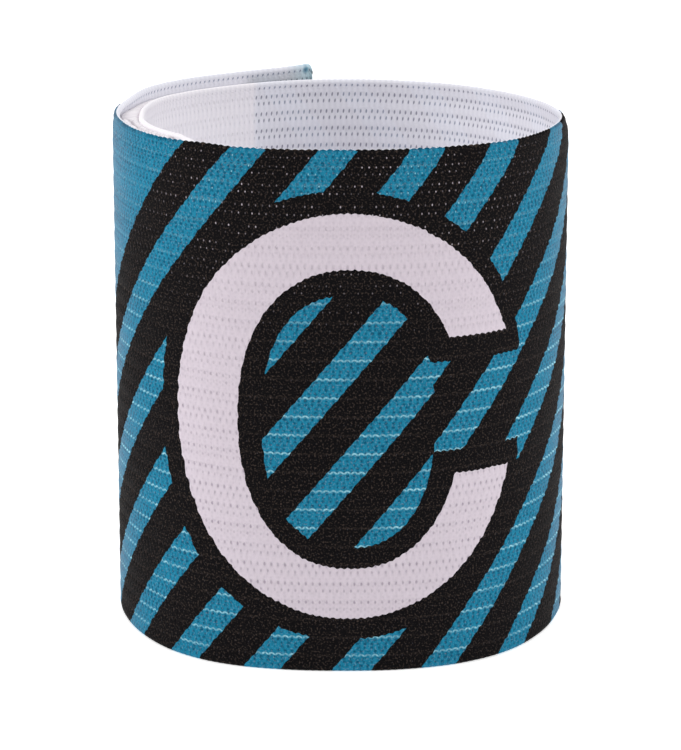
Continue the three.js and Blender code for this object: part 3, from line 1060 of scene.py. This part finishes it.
def patch_sheet(name, start, end, outer_depth, inner_depth, bumps, seed, material):
    """A fastener patch with rounded edges, and a surface uneven by the size of its pile."""
    edge_rows = [0.25, 0.8, 1.4, 2.0, 2.8, 4.0]
    middle_rows = list(np.linspace(RIM_ZONE, BAND_HEIGHT - RIM_ZONE, 40))
    rows = edge_rows + middle_rows + [BAND_HEIGHT - height for height in edge_rows[::-1]]
    count = int((float(cloth_of_turn(start)) - float(cloth_of_turn(end))) / PATCH_COLUMN)
    places = np.linspace(float(cloth_of_turn(start)), float(cloth_of_turn(end)), count + 1)
    turns = turn_of_cloth(places)
    low, high = edges_at(turns)
    low = low + PATCH_EDGE_INSET
    high_edge = high - PATCH_EDGE_INSET
    rng = np.random.default_rng(seed)
    middle_depth = (outer_depth + inner_depth) / 2
    half = (inner_depth - outer_depth) / 2
    points = []
    cloth_points = []
    columns = []
    for i, turn in enumerate(turns):
        stretch = (high_edge[i] - low[i]) / BAND_HEIGHT
        at_end = i in (0, len(turns) - 1)
        ring = []
        outline = [(height, -1) for height in rows] + [(BAND_HEIGHT, 0)]
        outline += [(height, 1) for height in rows[::-1]] + [(0, 0)]
        for height, side in outline:
            depth = middle_depth + half * side * (PATCH_END_SHARE if at_end else 1)
            if side < 0 and name == "loop_patch_pile":
                free = radius_at(turn + FULL_TURN) - radius_at(turn) - KNIT_THICKNESS
                full = min(float(free) - PILE_CLEARANCE, PILE_LIMIT) + outer_depth
                depth -= full * float(smoothstep(turn, HOOK_END, HOOK_END + PILE_GROWS))
            if side == bumps:
                depth -= side * rng.uniform(0, PILE_UNEVEN)
            elif side == 0:
                depth += rng.uniform(-EDGE_UNEVEN, EDGE_UNEVEN)
            ring.append(len(points))
            points.append((turn, depth, low[i] + height * stretch, low[i], high[i]))
            cloth_points.append((places[i], height))
        columns.append(ring)
    table = np.array(points)
    points = settle(table[:, 0], table[:, 1], table[:, 2], table[:, 3], table[:, 4])
    faces = []
    for a, b in zip(columns[:-1], columns[1:]):
        for j in range(len(a)):
            k = (j + 1) % len(a)
            faces.append((a[j], a[k], b[k], b[j]))
    faces.append(tuple(columns[0][::-1]))
    faces.append(tuple(columns[-1]))
    return make_piece(
        name, points, faces, cloth_points, np.zeros(len(points)), np.zeros(len(points)),
        material,
    )


def patch_material(name, colour, shade, scale, depth):
    """Nylon fastener tape: matt and uneven, with fine shadows between its loops or hooks."""
    material, tree = new_material(name)
    uv = add(tree, "ShaderNodeUVMap", {}, uv_map="cloth")
    place = add(tree, "ShaderNodeVectorMath", {0: uv, 1: (1000, 1000, 0)}, operation="MULTIPLY")
    pile = add(
        tree, "ShaderNodeTexVoronoi", {"Vector": place, "Scale": scale, "Randomness": 0.9},
        voronoi_dimensions="2D",
    )
    fuzz = add(
        tree, "ShaderNodeTexNoise", {"Vector": place, "Scale": 3 * scale, "Detail": 3.0},
        noise_dimensions="2D",
    )
    mixed = add(tree, "ShaderNodeMath", {0: fuzz, 1: 0.6, 2: pile}, operation="MULTIPLY_ADD")
    shaded = add(
        tree, "ShaderNodeMapRange",
        {"Value": mixed, "From Min": 0.45, "From Max": 1.1, "To Min": 0.0, "To Max": 0.7},
    )
    base = add(
        tree, "ShaderNodeMix", {0: shaded, 6: linear(colour), 7: linear(shade)}, out=2,
        data_type="RGBA",
    )
    bump = add(
        tree, "ShaderNodeBump",
        {"Strength": 0.7, "Distance": depth * MM, "Height": mixed}, invert=True,
    )
    shader = add(
        tree, "ShaderNodeBsdfPrincipled",
        {
            "Base Color": base, "Roughness": 0.9, "IOR": 1.53, "Normal": bump,
            "Specular IOR Level": 0.2, "Sheen Weight": 0.3, "Sheen Roughness": 0.5,
            "Sheen Tint": linear("#ffffff"),
        },
    )
    add(tree, "ShaderNodeOutputMaterial", {"Surface": shader})
    return material


# Camera: the photograph's angle, with its middle line on the middle of the loop
camera_data = bpy.data.cameras.new("camera")
camera_data.lens = LENS
camera_data.sensor_width = SENSOR_WIDTH
camera_data.sensor_fit = "AUTO"
camera = bpy.data.objects.new("camera", camera_data)
camera.location = (
    loop_middle[0] * MM, (loop_middle[1] - CAMERA_BACK) * MM, CAMERA_HEIGHT * MM
)
camera.rotation_euler = (math.radians(CAMERA_TILT), 0, 0)
bpy.context.scene.collection.objects.link(camera)
bpy.context.scene.camera = camera

# Pieces
knit_cloth = knit_material()
band = knit_band(knit_cloth)
loops = rim_loops(knit_cloth)
pile = patch_sheet(
    "loop_patch_pile", PATCH_START, turn_along_inner_end(PATCH_SETBACK + LOOP_PATCH_LENGTH),
    -PIECE_GAP - LOOP_PATCH_THICKNESS, -PATCH_OFF_KNIT, -1, 5,
    patch_material("nylon_loop_pile", "#f4eff3", "#d4ccd5", 1.6, 0.25),
)
hooks = patch_sheet(
    "hook_patch_tape", FULL_TURN + PATCH_START, FULL_TURN + HOOK_END,
    KNIT_THICKNESS + PATCH_OFF_KNIT, KNIT_THICKNESS + PIECE_GAP + HOOK_PATCH_THICKNESS, 1, 7,
    patch_material("nylon_hook_tape", "#f4eef2", "#d6ced6", 1.0, 0.2),
)
for piece, nodes, slot in (
    (band, ("knit_band",), "printed_knit"),
    (loops, (), "printed_knit"),
    (pile, ("loop_patch",), "loop_pile"),
    (hooks, ("hook_patch",), "hook_tape"),
):
    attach(piece, "root")
    if nodes:
        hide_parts(*nodes)

# Plain pale floor, faintly lit from below like a light table
floor_mesh = bpy.data.meshes.new("floor")
reach = FLOOR_REACH
floor_mesh.from_pydata(
    [(-reach, -reach, 0), (reach, -reach, 0), (reach, reach, 0), (-reach, reach, 0)], [],
    [(0, 1, 2, 3)],
)
floor = bpy.data.objects.new("floor", floor_mesh)
bpy.context.scene.collection.objects.link(floor)
floor_material, floor_tree = new_material("matt_opal_acrylic")
floor_shader = add(
    floor_tree, "ShaderNodeBsdfPrincipled",
    {
        "Base Color": linear("#fafafa"), "Roughness": 0.95, "Specular IOR Level": 0.0,
        "Emission Color": linear("#ffffff"), "Emission Strength": FLOOR_GLOW,
    },
)
add(floor_tree, "ShaderNodeOutputMaterial", {"Surface": floor_shader})
floor_mesh.materials.append(floor_material)

# Soft studio light all round, with a large soft box above and one at each side
world = bpy.data.worlds.new("studio")
world.use_nodes = True
background = world.node_tree.nodes["Background"]
background.inputs["Color"].default_value = (1, 1, 1, 1)
background.inputs["Strength"].default_value = WORLD_LIGHT
bpy.context.scene.world = world
for name, place, size, power in SOFT_BOXES:
    lamp_data = bpy.data.lights.new(name, "AREA")
    lamp_data.size = size
    lamp_data.energy = power
    lamp = bpy.data.objects.new(name, lamp_data)
    lamp.location = place
    aim = Vector((0, 0, AIM_HEIGHT)) - Vector(place)
    lamp.rotation_euler = aim.to_track_quat("-Z", "Y").to_euler()
    bpy.context.scene.collection.objects.link(lamp)
bpy.context.scene.view_settings.view_transform = "Standard"
